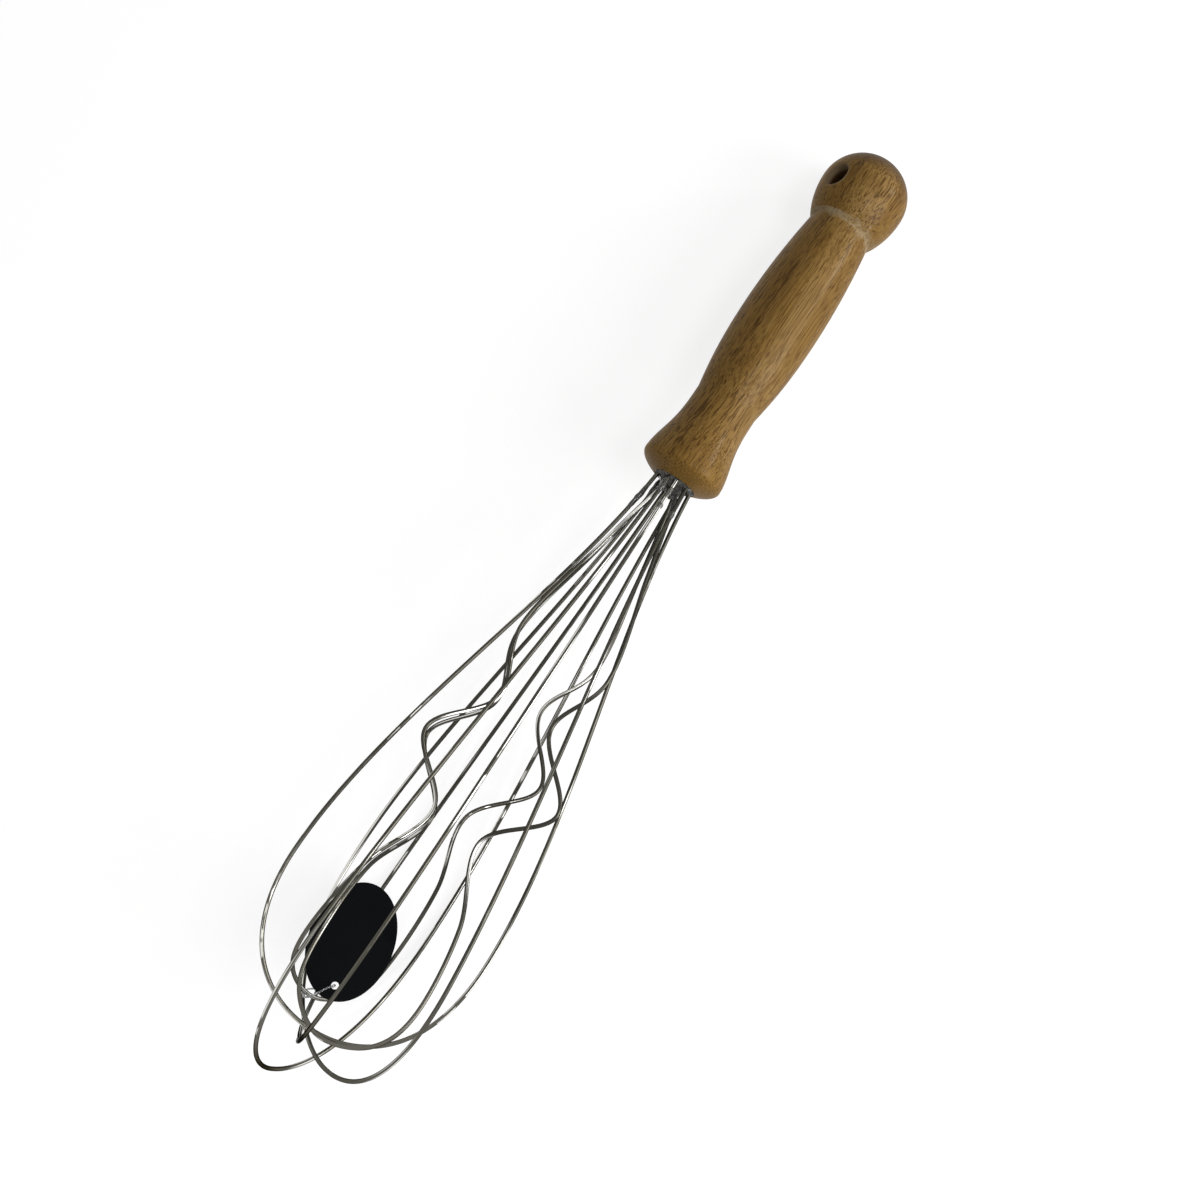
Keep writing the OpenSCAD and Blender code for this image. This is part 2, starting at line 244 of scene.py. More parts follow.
# Noises of the wood: scale per millimetre along and across the grain, detail, roughness and place
WANDER = dict(scale=(0.013, 0.03, 0.03), detail=1.0)
ZONES = dict(scale=(0.010, 0.075, 0.075), detail=2.0, place=(2, 5, 1))
STREAKS = dict(scale=(0.014, 1.0, 1.0), detail=4.0, rough=0.68)
FIBRES = dict(scale=(0.10, 6.0, 6.0), detail=2.0, rough=0.6)
HAIRS = dict(scale=(0.035, 3.1, 3.1), detail=1.0, place=(4, 2, 9))
DASHES = dict(scale=(0.17, 2.0, 2.0), detail=1.0)
FLECKS = dict(scale=(0.36, 3.2, 3.2), detail=1.5, place=(7, 3, 5))
PATCHES = dict(scale=(0.028, 0.06, 0.06), detail=1.0, place=(3, 1, 2))
RUBBING = dict(scale=(0.8, 0.5, 0.5), detail=4.0, rough=0.8)

# Stops over those noises: a level of the noise, and the colour or share that it gives
ZONE_TONES = ((0.36, WOOD_PALE), (0.50, WOOD_MIDDLE), (0.68, WOOD_BROWN))
PALE_STREAK_STOPS = ((0.30, 0.6), (0.46, 0.0))
DARK_STREAK_STOPS = ((0.49, 0.0), (0.70, 0.8))
FIBRE_STOPS = ((0.45, 0.0), (0.75, 0.3))
HAIR_STOPS = ((0.565, 0.0), (0.65, 1.0))
DASH_STOPS = ((0.595, 0.0), (0.66, 1.0))
FLECK_STOPS = ((0.61, 0.0), (0.71, 1.0))
HAIR_SHARE, FLECK_SHARE, DASH_SHARE = 0.7, 0.5, 0.85

# How far the grain wanders across the handle, and how it is askew to the axis, in radians
WANDER_Y, WANDER_Z = 9.0, -6.0
GRAIN_SKEW = (0, 0.02, 0.035)

# How the pores crowd in patches, past a place toward the foot and toward the ball, and in a bold
# row along the handle, and how they thin out at the nose
PATCH_CROWD = 0.32
FOOT_CROWD = dict(start=-36.0, slope=0.0014)
BALL_CROWD = dict(start=-80.0, slope=-0.0006)
ROW_Y = -4.0
ROW_NARROWNESS = 0.5
ROW_STOPS = ((0.0, 0.14), (0.7, 0.0))
NOSE_THIN = 0.11

# Where the wood is warmer, on one side and at the nose, and where painted shade darkens the ball's
# end. The side is a share of the way across the handle, which grows by this slope for each
# millimetre.
SIDE_SLOPE = 0.03
WARM_SIDE_STOPS = ((0.10, 0.7), (0.44, 0.0))
NOSE = dict(start=-9.0, slope=0.11)
NOSE_WARMTH = 0.45
# Painted shade at the ball's end
BALL_TAIL_SHADE = dict(start=-120.0, slope=-0.05)
TAIL_SHADE_STOPS = ((0.15, 0.0), (0.50, 0.95))

# Wear in the groove: how its spots fade away from the groove, and a painted highlight, a pale line
# beside its middle
WORN_GAIN = 4.4
WORN_REACH_STOPS = ((0.3, 0.95), (0.72, 0.34))
WORN_FROM = 1.3
WORN_SLOPE = 0.7
WORN_STOPS = ((0.0, 0.0), (0.9, 0.8))
BAND_PAST_NECK = 0.9
BAND_STOPS = ((0.0, 1.0), (0.4, 0.0))
BAND_SIDE_STOPS = ((0.4, 0.85), (0.72, 0.2))
BAND_MOTTLE_STOPS = ((0.38, 0.45), (0.56, 1.0))

# Unlacquered wall of the hanging hole: where it ends past the hole's edge, and its tones by depth,
# pale wood at the mouths and painted shade deeper in
HOLE_RANGE = 10
HOLE_BARE_TO = 0.1
HOLE_BARE_END = 0.7
HOLE_BARE_SHARE = 0.9
HOLE_SHADE_STOPS = ((0.74, HOLE_PAINTED_SHADE), (0.81, HOLE_LIP))

# Lacquer over the wood, its roughness and its relief
LACQUER = dict(Specular_IOR_Level=0.12, IOR=1.38, Coat_Weight=0.09, Coat_Roughness=0.2,
               Coat_IOR=1.38)
WOOD_ROUGH, ROUGH_BY_FIBRE, ROUGH_BY_WEAR, ROUGH_BY_BARENESS = 0.40, 0.2, 0.25, 0.3
FIBRE_HEIGHT, DASH_DEPTH, PORE_DEPTH = 0.2, 0.8, 0.5
WOOD_BUMP = dict(strength=0.35, distance=0.00012)

# Colours of the steel: dark drawn skin, a lighter tip, and a painted reflection: bright streaks
# painted into the colour
STEEL_DARK = (0.038, 0.036, 0.029)
STEEL_GREY = (0.070, 0.066, 0.055)
STEEL_TIP = (0.150, 0.144, 0.122)
# Painted reflection: the colour of the bright streaks
STEEL_PAINTED_GLEAM = (0.72, 0.71, 0.67)
STEEL_EDGE = (0.12, 0.115, 0.10)

# Noises of the steel, scaled per millimetre along the wire and per radius around it, and the
# stops over them
SKIN = dict(scale=(0.04, 1.2, 1.2), detail=3.0, rough=0.6)
# Painted reflection: these noises and stops place bright streaks painted into the steel's colour,
# in lit zones, along lines, with breaks
PAINTED_LIGHT_ZONES = dict(scale=(0.021, 0.15, 0.15), detail=1.0, place=(21, 1, 0))
GLEAM_LINES = dict(scale=(0.016, 1.15, 1.15), detail=0.0, place=(0, 7, 2))
BREAKS = dict(scale=(0.17, 0.3, 0.3), detail=1.0, place=(9, 3, 0))
UNBROKEN = dict(scale=(0.02, 0.1, 0.1), detail=0.0, place=(2, 8, 6))
SKIN_TONES = ((0.35, STEEL_DARK), (0.65, STEEL_GREY))
PAINTED_LIGHT_STOPS = ((0.48, 0.0), (0.54, 1.0))
GLEAM_LINE_STOPS = ((0.535, 0.0), (0.61, 1.0))
BREAK_STOPS = ((0.47, 0.0), (0.53, 1.0))
UNBROKEN_STOPS = ((0.50, 1.0), (0.54, 0.0))
TIP_STOPS = ((0.35, 0.35), (0.65, 0.9))
# The painted reflections are left off the first stretch past the mouth, and the wires are lighter
# round the tag and the tip
MOUTH_GLEAM_FADE = dict(start=70.0, slope=-0.0012)
TIP_LIGHTENING = dict(start=155.0, slope=0.03)
GLEAM_SHARE = 0.95
STEEL_ROUGH, ROUGH_BY_SKIN, ROUGH_BY_GLEAM = 0.16, 0.16, 0.14
STEEL_BUMP = dict(strength=0.05, distance=0.00004)

# Noises, tones, roughness and relief of the resin, the card and the nylon
RESIN_CLOUDS = dict(scale=(0.5, 0.5, 0.5), detail=2.0)
RESIN_WAVES = dict(scale=(0.6, 0.6, 0.6), detail=1.0)
# Resin tones darkened as painted shade between the wires at the mouth
RESIN_SHADE_TONES = ((0.3, (0.13, 0.125, 0.105)), (0.7, (0.30, 0.29, 0.26)))
RESIN_ROUGH, ROUGH_BY_CLOUD = 0.1, 0.1
RESIN_CLEAR = dict(Transmission_Weight=0.8, IOR=1.45)
RESIN_BUMP = dict(strength=0.15, distance=0.0003)
CARD_FIBRES = dict(scale=(3.2, 3.2, 3.2), detail=4.0, rough=0.65)
CARD_SMEARS = dict(scale=(0.09, 0.16, 0.16), detail=2.0)
CARD_TONES = ((0.35, (0.0025, 0.0029, 0.0035)), (0.75, (0.005, 0.0055, 0.0065)))
CARD_ROUGH, ROUGH_BY_SMEAR = 0.42, 0.2
CARD_SPECULAR = 0.035
CARD_BUMP = dict(strength=0.2, distance=0.00005)
NYLON_STREAKS = dict(scale=(0.6, 4.0, 1.0), detail=2.0)
NYLON_TONES = ((0.3, (0.34, 0.35, 0.35)), (0.7, (0.50, 0.51, 0.51)))
NYLON_ROUGH, ROUGH_BY_STREAK = 0.12, 0.1
NYLON_CLEAR = dict(Transmission_Weight=0.9, IOR=1.53)
NYLON_BUMP = dict(strength=0.1, distance=0.00005)

# Floor and world, in metres: their white as it is seen, and as it lights the whisk
WHITE = (1.0, 1.0, 1.0)
FLOOR_HALF = 6.0
FLOOR_BELOW = 0.0001
FLOOR_LIGHTING = (0.5, 0.5, 0.5)
FLOOR_SEEN = (0.32, 0.32, 0.32)
FLOOR_GLOW = 0.78
WORLD_LIGHTING = 0.32
WORLD_SEEN = 1.0

# Lamps: metres to the photograph's right, up and toward the eye, width in metres, and watts
LAMPS = {
    "key": (0.98, -0.42, 0.66, 0.85, 13.6),
    "side": (1.1, 0.24, 0.34, 0.24, 3.0),
    "front": (0.5, 0.0, 1.16, 0.4, 3.6),
}


# Small helpers

def rot(axis, degrees):
    """3 by 3 turn about an axis."""
    return Matrix.Rotation(math.radians(degrees), 3, axis)


def polar(radius, degrees):
    """Y and Z of a place at a distance from the axis and a turn about it."""
    a = math.radians(degrees)
    return radius * math.cos(a), radius * math.sin(a)


def circle(sides):
    """Cosine and sine of evenly spread turns."""
    turns = [2 * math.pi * k / sides for k in range(sides)]
    return [(math.cos(a), math.sin(a)) for a in turns]


def quarter(steps):
    """Angles from none to a quarter turn, in radians."""
    return [math.pi / 2 * i / steps for i in range(steps + 1)]


def mix(a, b, t):
    """Value a share of the way from one to another."""
    return a + (b - a) * t


def ease(t):
    """Share from 0 to 1 that starts and ends level."""
    return (1 - math.cos(math.pi * t)) / 2


def bezier(a, b, c, d, t):
    """Point on a cubic Bezier curve."""
    return (1 - t) ** 3 * a + 3 * t * (1 - t) ** 2 * b + 3 * t * t * (1 - t) * c + t ** 3 * d


def catmull(a, b, c, d, t):
    """Point between the second and third of four points that a smooth curve runs through."""
    return (2 * b + (c - a) * t + (2 * a - 5 * b + 4 * c - d) * t * t
            + (3 * b - a - 3 * c + d) * t ** 3) / 2


# Curves of the wires

def strand_point(reach, radius, angle, full_reach, tip):
    """Point of a strand, moved aside by its loop's tip the more the nearer it is to the tip."""
    fade = BELLY_R * max(0.0, reach / full_reach) ** TIP_FADE
    y, z = polar(radius, angle)
    return np.array([reach, y + tip[0] * fade, z + tip[1] * fade])


def loop_tip(w):
    """Where a loop crosses the axis."""
    return strand_point(w["reach"], 0, 0, w["reach"], w["tip"])


def wire_end(ring_r, angle, x=-SEAT_DEPTH):
    """Point of a wire on its ring, at the seat's depth unless told otherwise."""
    return np.array([x, *polar(ring_r, angle)])


def plain_profile(reach, full_r, t):
    """Distance along X and radius of a plain strand, where t is 1 at the belly and 2 at the tip."""
    belly = BELLY_SHARE * reach
    first = FIRST_HANDLE * belly
    nose = reach - belly
    if t < 1:
        return bezier(np.array([0, PLAIN_RING_R]),
                      np.array([first, PLAIN_RING_R + SPREAD_SLOPE * first]),
                      np.array([belly * (1 - BELLY_BACK), full_r]),
                      np.array([belly, full_r]), t)
    return bezier(np.array([belly, full_r]),
                  np.array([belly + BELLY_FRONT * nose, full_r]),
                  np.array([reach, TIP_HANDLE * full_r]),
                  np.array([reach, 0.0]), t - 1)


def plain_path(number):
    """Centre line of a plain loop, from one seated end to the other."""
    w = PLAIN[number]
    strands = []
    for angle, full in zip(w["angles"], w["full"]):
        profile = [plain_profile(w["reach"], full * BELLY_R, 2 * i / PLAIN_STEPS)
                   for i in range(PLAIN_STEPS)]
        strands.append([strand_point(x, r, angle, w["reach"], w["tip"]) for x, r in profile])
    return np.array([wire_end(PLAIN_RING_R, w["angles"][0]), *strands[0], loop_tip(w),
                     *strands[1][::-1], wire_end(PLAIN_RING_R, w["angles"][1])])


def wavy_path(number):
    """Centre line of a wavy loop, from one seated end to the other."""
    w = WAVY[number]
    strands = []
    for angle, lead, radii in zip(w["angles"], w["lead"], w["radii"]):
        bends = [wire_end(WAVY_RING_R, angle, x=0)]
        for share, radius in zip(WAVE_REACH, radii):
            bend = share - lead * math.sin(math.pi * share)
            bends.append(strand_point(bend * w["reach"], radius * BELLY_R, angle,
                                      w["reach"], w["tip"]))
        strands.append(bends)
    points = strands[0] + [loop_tip(w)] + strands[1][::-1]
    knots = [2 * points[0] - points[1]] + points + [2 * points[-1] - points[-2]]
    smooth = [catmull(*knots[i:i + 4], step / WAVY_STEPS)
              for i in range(len(points) - 1) for step in range(WAVY_STEPS)]
    return np.array([wire_end(WAVY_RING_R, w["angles"][0]), *smooth, points[-1],
                     wire_end(WAVY_RING_R, w["angles"][1])])


def strand(kind, number, far):
    """One strand of a loop from the mouth outward: the near strand, or the far one."""
    path = plain_path(number) if kind == "plain" else wavy_path(number)
    path = path[::-1] if far else path
    return path[1:len(path) // 2]


# Mesh helpers

def link(name, mesh, place=LAID):
    """Object whose mesh is moved to its place on the table."""
    mesh.transform(place)
    obj = bpy.data.objects.new(name, mesh)
    bpy.context.scene.collection.objects.link(obj)
    return obj


def shade_smooth(mesh):
    """Shades every face of a mesh smooth."""
    mesh.polygons.foreach_set("use_smooth", [True] * len(mesh.polygons))


def face_outward(mesh):
    """Turns every face of a closed mesh outward."""
    work = bmesh.new()
    work.from_mesh(mesh)
    bmesh.ops.recalc_face_normals(work, faces=work.faces)
    work.to_mesh(mesh)
    work.free()


def mesh_from(name, points, faces, uvs=None):
    """Smooth mesh from points in millimetres, with a UV for each point where uvs are given."""
    mesh = bpy.data.meshes.new(name)
    mesh.from_pydata([tuple(float(x) * MM for x in p) for p in points], [], faces)
    mesh.validate()
    shade_smooth(mesh)
    if uvs is not None:
        layer = mesh.uv_layers.new(name="along")
        for face in mesh.polygons:
            corners = [uvs[mesh.loops[i].vertex_index] for i in face.loop_indices]
            top = max(turn for _, turn in corners)
            for i, (run, turn) in zip(face.loop_indices, corners):
                # A face over the seam ends at a full turn, not at none
                layer.data[i].uv = (run, turn + 1 if top - turn > 0.5 else turn)
    mesh.update()
    return mesh


def tube_sides(path, closed):
    """A path's direction at each point, and one to its side that keeps from twisting."""
    if closed:
        along = np.roll(path, -1, axis=0) - np.roll(path, 1, axis=0)
    else:
        along = np.gradient(path, axis=0)
    along /= np.linalg.norm(along, axis=1)[:, None]
    side = np.cross(along[0], (0.0, 0.0, 1.0))
    if np.linalg.norm(side) < NEAR_VERTICAL:
        side = np.cross(along[0], (0.0, 1.0, 0.0))
    sideways = []
    for t in along:
        side = side - t * side.dot(t)
        side = side / np.linalg.norm(side)
        sideways.append(side)
    return along, sideways


def tube(name, path, radius, sides, closed=False, start=0.0):
    """Tube about a path. Its UV runs in millimetres along and in turns around.

    The radius is one number, or an array with a row for each ring and a column for each side.
    The UV begins at start, so that no two wires are streaked alike.
    """
    path = np.asarray(path, float)
    radius = np.broadcast_to(radius, (len(path), sides))
    count = len(path)
    along, sideways = tube_sides(path, closed)
    run = np.concatenate([[0], np.cumsum(np.linalg.norm(np.diff(path, axis=0), axis=1))])
    points, uvs = [], []
    for i in range(count):
        up = np.cross(sideways[i], along[i])
        for k, (c, s) in enumerate(circle(sides)):
            points.append(path[i] + radius[i, k] * (c * sideways[i] + s * up))
            uvs.append((start + run[i], k / sides))
    faces = []
    for i in range(count if closed else count - 1):
        j = (i + 1) % count
        for k in range(sides):
            n = (k + 1) % sides
            faces.append((i * sides + k, i * sides + n, j * sides + n, j * sides + k))
    if not closed:
        faces.append(tuple(range(sides - 1, -1, -1)))
        faces.append(tuple((count - 1) * sides + k for k in range(sides)))
    mesh = mesh_from(name, points, faces, uvs)
    face_outward(mesh)
    return mesh


def revolve(name, stations, sides):
    """Closed mesh of revolution about X from stations of distance along X and radius."""
    points = []
    rows = []
    for x, r in stations:
        if r < ON_AXIS:
            rows.append([len(points)])
            points.append((x, 0, 0))
        else:
            rows.append(list(range(len(points), len(points) + sides)))
            points += [(x, r * c, r * s) for c, s in circle(sides)]
    faces = []
    for a, b in zip(rows, rows[1:]):
        for k in range(sides):
            n = (k + 1) % sides
            if len(a) == 1:
                faces.append((a[0], b[n], b[k]))
            elif len(b) == 1:
                faces.append((a[k], a[n], b[0]))
            else:
                faces.append((a[k], a[n], b[n], b[k]))
    mesh = mesh_from(name, points, faces)
    face_outward(mesh)
    return mesh


# Node helpers

class Nodes:
    """Short words for making and joining the nodes of one material or world."""

    def __init__(self, owner, output="ShaderNodeOutputMaterial"):
        owner.use_nodes = True
        self.owner = owner
        self.tree = owner.node_tree
        self.tree.nodes.clear()
        self.out = self.tree.nodes.new(output)

    def add(self, kind, **sets):
        """New node of a kind, with its settings."""
        node = self.tree.nodes.new(kind)
        for key, value in sets.items():
            setattr(node, key, value)
        return node

    def put(self, node, key, value):
        """Sets a socket to a value, or joins another node's output to it."""
        socket = node.inputs[key]
        if isinstance(value, bpy.types.NodeSocket):
            self.tree.links.new(value, socket)
        elif socket.type == "RGBA":
            socket.default_value = (*value, 1)
        else:
            socket.default_value = value

    def math(self, operation, a, b=0.0, clamp=False):
        """Result of an operation on one or two values."""
        node = self.add("ShaderNodeMath", operation=operation, use_clamp=clamp)
        self.put(node, 0, a)
        self.put(node, 1, b)
        return node.outputs[0]

    def plus(self, a, b, clamp=False):
        """Sum of two values."""
        return self.math("ADD", a, b, clamp)

    def minus(self, a, b):
        """What is left of one value after another."""
        return self.math("SUBTRACT", a, b)

    def times(self, a, b, clamp=False):
        """Product of two values."""
        return self.math("MULTIPLY", a, b, clamp)

    def rise(self, value, start, slope):
        """Share that grows from nothing at the start, by the slope, up to one."""
        return self.times(self.minus(value, start), slope, clamp=True)

    def apart(self, value, place):
        """How far a value is from a place."""
        return self.math("ABSOLUTE", self.minus(value, place))

    def vector(self, operation, a, b=None):
        """Result of an operation on one or two vectors: a vector, or else a value."""
        node = self.add("ShaderNodeVectorMath", operation=operation)
        self.put(node, 0, a)
        if b is not None:
            self.put(node, 1, b)
        return node.outputs["Value" if operation in ("LENGTH", "DOT_PRODUCT") else "Vector"]

    def split(self, vector):
        """The three values of a vector."""
        node = self.add("ShaderNodeSeparateXYZ")
        self.put(node, 0, vector)
        return list(node.outputs)

    def joined(self, x, y, z):
        """Vector of three values."""
        node = self.add("ShaderNodeCombineXYZ")
        for key, value in enumerate((x, y, z)):
            self.put(node, key, value)
        return node.outputs[0]

    def mapping(self, vector, scale=(1, 1, 1), location=(0, 0, 0), rotation=(0, 0, 0)):
        """Vector scaled, turned and moved."""
        node = self.add("ShaderNodeMapping")
        self.put(node, "Vector", vector)
        self.put(node, "Scale", scale)
        self.put(node, "Location", location)
        self.put(node, "Rotation", rotation)
        return node.outputs[0]

    def noise(self, vector, scale, detail, rough=0.5, place=(0, 0, 0)):
        """Noise over a vector scaled along each axis, from a place of its own."""
        node = self.add("ShaderNodeTexNoise")
        self.put(node, "Vector", self.mapping(vector, scale=scale, location=place))
        self.put(node, "Scale", 1.0)
        self.put(node, "Detail", detail)
        self.put(node, "Roughness", rough)
        return node.outputs["Fac"]

    def ramp(self, value, *stops):
        """Value through stops of (position, level), where a level is a number or a colour."""
        node = self.add("ShaderNodeValToRGB")
        self.put(node, "Fac", value)
        elements = node.color_ramp.elements
        while len(elements) < len(stops):
            elements.new(0.5)
        for element, (position, level) in zip(elements, stops):
            element.position = position
            element.color = (*level, 1) if isinstance(level, tuple) else (level, level, level, 1)
        return node.outputs["Color"]

    def blend(self, share, a, b):
        """The first colour with a share of the second."""
        node = self.add("ShaderNodeMix", data_type="RGBA")
        self.put(node, "Factor", share)
        # The node's two colours, and the colour that it gives
        first, second, result = 6, 7, 2
        self.put(node, first, a)
        self.put(node, second, b)
        return node.outputs[result]

    def bump(self, height, strength, distance):
        """Normal of a surface with this relief."""
        node = self.add("ShaderNodeBump")
        self.put(node, "Height", height)
        self.put(node, "Strength", strength)
        self.put(node, "Distance", distance)
        return node.outputs[0]

    def shader(self, kind, *inputs, **sockets):
        """Output of a shader, whose sockets are set in their order or by name."""
        node = self.add(kind)
        for key, value in enumerate(inputs):
            self.put(node, key, value)
        for key, value in sockets.items():
            self.put(node, key.replace("_", " "), value)
        return node.outputs[0]

    def finish(self, shader):
        """The material or world, once it shows this shader."""
        self.put(self.out, "Surface", shader)
        return self.owner

    def surface(self, **sockets):
        """The material, once it shows a principled surface with these sockets."""
        return self.finish(self.shader("ShaderNodeBsdfPrincipled", **sockets))

    def object_mm(self, **moves):
        """Place on the object in millimetres, turned and moved if asked."""
        place = self.add("ShaderNodeTexCoord").outputs["Object"]
        return self.mapping(place, scale=(1 / MM, 1 / MM, 1 / MM), **moves)

    def whisk_mm(self):
        """Place in the whisk's own frame, in millimetres, of an object laid on the table."""
        return self.object_mm(rotation=(0, REST_TILT, 0), location=(-HOLE_AT, 0, 0))

    def wire_uv(self):
        """The tube's own coordinates: run along it and turn around it."""
        return self.add("ShaderNodeUVMap", uv_map="along").outputs[0]

    def seen(self):
        """One for the rays that see the white surroundings, none for those that light the whisk."""
        rays = self.add("ShaderNodeLightPath").outputs
        direct = self.plus(rays["Is Camera Ray"], rays["Is Glossy Ray"])
        return self.plus(direct, rays["Is Transmission Ray"], clamp=True)


# Materials

def wood_grain(n, mm):
    """Place along a grain that is a little askew and wanders from side to side."""
    wander = n.noise(mm, **WANDER)
    shift = n.joined(0.0, n.times(wander, WANDER_Y), n.times(wander, WANDER_Z))
    return n.vector("ADD", n.mapping(mm, rotation=GRAIN_SKEW), shift)


def wood_pores(n, mm, grain, nose):
    """Shares of the fine hairlines, flecks and bold dashes that pores draw along the grain."""
    x, y, _ = n.split(mm)
    crowd = n.times(n.minus(n.noise(mm, **PATCHES), 0.5), PATCH_CROWD)
    crowd = n.plus(n.plus(crowd, n.rise(x, **FOOT_CROWD)), n.rise(x, **BALL_CROWD))
    row = n.ramp(n.times(n.apart(y, ROW_Y), ROW_NARROWNESS), *ROW_STOPS)
    crowd = n.minus(n.plus(crowd, row), n.times(nose, NOSE_THIN))
    hair = n.ramp(n.minus(n.noise(grain, **HAIRS), crowd), *HAIR_STOPS)
    fleck = n.ramp(n.plus(n.noise(grain, **FLECKS), crowd), *FLECK_STOPS)
    dash = n.ramp(n.plus(n.noise(grain, **DASHES), crowd), *DASH_STOPS)
    return hair, fleck, dash


def wood_wear_and_highlight(n, mm, side):
    """Share of lacquer wear in the groove below the ball, wider on one side, and of a painted
    highlight line beside the groove's middle.
    """
    x = n.split(mm)[0]
    rub = n.noise(mm, **RUBBING)
    fade = n.times(n.apart(x, -NECK_AT), n.ramp(side, *WORN_REACH_STOPS))
    spots = n.minus(n.times(rub, WORN_GAIN), fade)
    spots = n.ramp(n.times(n.minus(spots, WORN_FROM), WORN_SLOPE), *WORN_STOPS)
    # Painted highlight: a pale line beside the groove's middle, mottled and stronger on one side
    painted_highlight_line = n.ramp(n.minus(n.apart(x, -NECK_AT - BAND_PAST_NECK), rub), *BAND_STOPS)
    painted_highlight_line = n.times(painted_highlight_line, n.ramp(side, *BAND_SIDE_STOPS))
    painted_highlight_line = n.times(painted_highlight_line, n.ramp(rub, *BAND_MOTTLE_STOPS))
    return n.math("MAXIMUM", spots, painted_highlight_line)


def wood_hole(n, mm):
    """Share of the hanging hole's unlacquered wall, and its colour: pale at the hole's mouths, with
    painted shade away from them.
    """
    from_hole = n.mapping(mm, location=(HOLE_AT, 0, 0))
    along = (0.0, *polar(1.0, HOLE_TURN))
    off_axis = n.vector("LENGTH", n.vector("CROSS_PRODUCT", from_hole, along))
    edge = n.times(off_axis, 1 / HOLE_RANGE)
    inside = n.ramp(edge, ((HOLE_D / 2 + HOLE_BARE_TO) / HOLE_RANGE, 1.0),
                    ((HOLE_D / 2 + HOLE_BARE_END) / HOLE_RANGE, 0.0))
    from_middle = n.math("ABSOLUTE", n.vector("DOT_PRODUCT", from_hole, along))
    return inside, n.ramp(n.times(from_middle, 2 / BALL_D), *HOLE_SHADE_STOPS)


def wood_material():
    """Stained and lacquered wood with dark pores, rubbed in its groove and unlacquered in its hole;
    painted shade darkens the hole and the ball's end, and a painted highlight lines the groove.
    """
    n = Nodes(bpy.data.materials.new("lacquered_wood"))
    mm = n.whisk_mm()
    x, y, _ = n.split(mm)
    side = n.plus(n.times(y, SIDE_SLOPE), 0.5)
    nose = n.rise(x, **NOSE)
    grain = wood_grain(n, mm)
    streaks = n.noise(grain, **STREAKS)
    fibres = n.noise(grain, **FIBRES)
    hair, fleck, dash = wood_pores(n, mm, grain, nose)
    base = n.ramp(n.noise(grain, **ZONES), *ZONE_TONES)
    base = n.blend(n.ramp(streaks, *PALE_STREAK_STOPS), base, WOOD_PALE)
    base = n.blend(n.ramp(streaks, *DARK_STREAK_STOPS), base, WOOD_LINE)
    base = n.blend(n.ramp(fibres, *FIBRE_STOPS), base, WOOD_LINE)
    base = n.blend(n.ramp(side, *WARM_SIDE_STOPS), base, WOOD_WARM)
    base = n.blend(n.times(nose, NOSE_WARMTH), base, WOOD_WARM)
    for pore, share in ((hair, HAIR_SHARE), (fleck, FLECK_SHARE), (dash, DASH_SHARE)):
        base = n.blend(n.times(pore, share), base, WOOD_PORE)
    # Painted shade: the ball's end is darkened toward its end
    base = n.blend(n.ramp(n.rise(x, **BALL_TAIL_SHADE), *TAIL_SHADE_STOPS), base, WOOD_PORE)
    wear_and_highlight = wood_wear_and_highlight(n, mm, side)
    # Wear in the groove, and its painted highlight line
    base = n.blend(wear_and_highlight, base, WOOD_WORN_AND_HIGHLIGHT)
    inside, hole_wall_and_shade = wood_hole(n, mm)
    # The hole's wall, with painted shade deeper in
    base = n.blend(n.times(inside, HOLE_BARE_SHARE), base, hole_wall_and_shade)
    rough = n.plus(n.times(fibres, ROUGH_BY_FIBRE), WOOD_ROUGH)
    rough = n.plus(rough, n.times(wear_and_highlight, ROUGH_BY_WEAR))
    rough = n.plus(rough, n.times(inside, ROUGH_BY_BARENESS))
    height = n.minus(n.times(fibres, FIBRE_HEIGHT), n.times(dash, DASH_DEPTH))
    height = n.minus(height, n.times(n.plus(fleck, hair), PORE_DEPTH))
    return n.surface(Base_Color=base, Roughness=rough, Normal=n.bump(height, **WOOD_BUMP),
                     **LACQUER)


